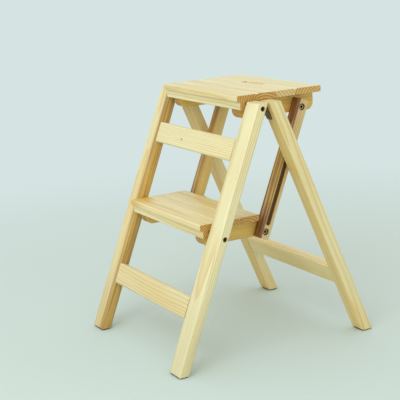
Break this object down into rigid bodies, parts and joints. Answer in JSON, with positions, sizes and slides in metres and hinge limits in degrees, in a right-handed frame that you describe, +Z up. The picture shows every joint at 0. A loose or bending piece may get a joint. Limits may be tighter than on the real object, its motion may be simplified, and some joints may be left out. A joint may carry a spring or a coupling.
{
  "type": "folding step stool chair",
  "caption": "Wooden folding step stool: a slatted seat and step turn on leaning front stiles, joined by grooved links and a hinged rear leg frame.",
  "frame": {"origin": "on the floor, in the middle of the four feet's footprint", "axes": "+Z up, +Y from the front to the back, +X to the right as seen from the front"},
  "size_m": [0.386, 0.4458, 0.5],
  "materials": {
    "pine_frame": "clear lacquered pine",
    "pine_slats": "clear lacquered pine",
    "hardwood_pins": "turned hardwood",
    "bronze_hinges": "antique bronze plated steel",
    "black_bolts": "black oxide",
    "zinc_hardware": "zinc plated",
    "rubber_feet": "matt black"
  },
  "bodies": {
    "front_frame": {"front_foot_pads": "rubber_feet", "front_rail_lower": "pine_frame", "front_rail_upper": "pine_frame", "front_stile_left": "pine_frame", "front_stile_right": "pine_frame", "hinge_leaf_front_left": "bronze_hinges", "hinge_leaf_front_right": "bronze_hinges", "hinge_pins": "bronze_hinges", "seat_pivot_bolts": "black_bolts", "seat_pivot_nuts": "zinc_hardware", "seat_pivot_spacers": "zinc_hardware", "seat_pivot_washers": "zinc_hardware", "step_pivot_bolts": "black_bolts", "step_pivot_nuts": "zinc_hardware", "step_pivot_spacers": "zinc_hardware", "step_pivot_washers": "zinc_hardware"},
    "seat": {"seat_cleat_left": "pine_slats", "seat_cleat_right": "pine_slats", "seat_lip": "pine_slats", "seat_slat_front": "pine_slats", "seat_slat_rear": "pine_slats", "seat_slat_second": "pine_slats", "seat_slat_third": "pine_slats"},
    "step": {"step_cleat_left": "pine_slats", "step_cleat_right": "pine_slats", "step_lip": "pine_slats", "step_slat_front": "pine_slats", "step_slat_middle": "pine_slats", "step_slat_rear": "pine_slats"},
    "link_left": {"link_bolts_left": "black_bolts", "link_head_washers_left": "zinc_hardware", "link_left": "pine_frame", "link_nut_washers_left": "zinc_hardware", "link_nuts_left": "zinc_hardware", "link_thrust_washers_left": "zinc_hardware"},
    "link_right": {"link_bolts_right": "black_bolts", "link_head_washers_right": "zinc_hardware", "link_nut_washers_right": "zinc_hardware", "link_nuts_right": "zinc_hardware", "link_right": "pine_frame", "link_thrust_washers_right": "zinc_hardware"},
    "rear_frame": {"guide_pins": "hardwood_pins", "hinge_leaf_rear_left": "bronze_hinges", "hinge_leaf_rear_right": "bronze_hinges", "rear_crossbar": "pine_frame", "rear_foot_pads": "rubber_feet", "rear_leg_left": "pine_frame", "rear_leg_right": "pine_frame"}
  },
  "joints": [
    {"name": "seat_fold", "type": "hinge", "parent": "front_frame", "child": "seat", "pos_m": [0, -0.01521, 0.4777], "axis": [1, 0, 0], "range_deg": [0, 61.3]},
    {"name": "step_fold", "type": "hinge", "parent": "front_frame", "child": "step", "pos_m": [0, -0.10995, 0.2467], "axis": [1, 0, 0], "range_deg": [0, 61.3]},
    {"name": "link_left_fold", "type": "hinge", "parent": "seat", "child": "link_left", "pos_m": [0, 0.10129, 0.4635], "axis": [1, 0, 0], "range_deg": [-61.3, 0]},
    {"name": "link_right_fold", "type": "hinge", "parent": "seat", "child": "link_right", "pos_m": [0, 0.10129, 0.4635], "axis": [1, 0, 0], "range_deg": [-61.3, 0]},
    {"name": "rear_leg_fold", "type": "hinge", "parent": "front_frame", "child": "rear_frame", "pos_m": [0, -0.00007, 0.483], "axis": [1, 0, 0], "range_deg": [-44.3, 0]}
  ],
  "couplings": [
    {"joint": "step_fold", "follows": "seat_fold", "ratio": 1},
    {"joint": "link_left_fold", "follows": "seat_fold", "ratio": -1},
    {"joint": "link_right_fold", "follows": "seat_fold", "ratio": -1},
    {"joint": "rear_leg_fold", "follows": "seat_fold", "ratio": -0.7226}
  ]
}
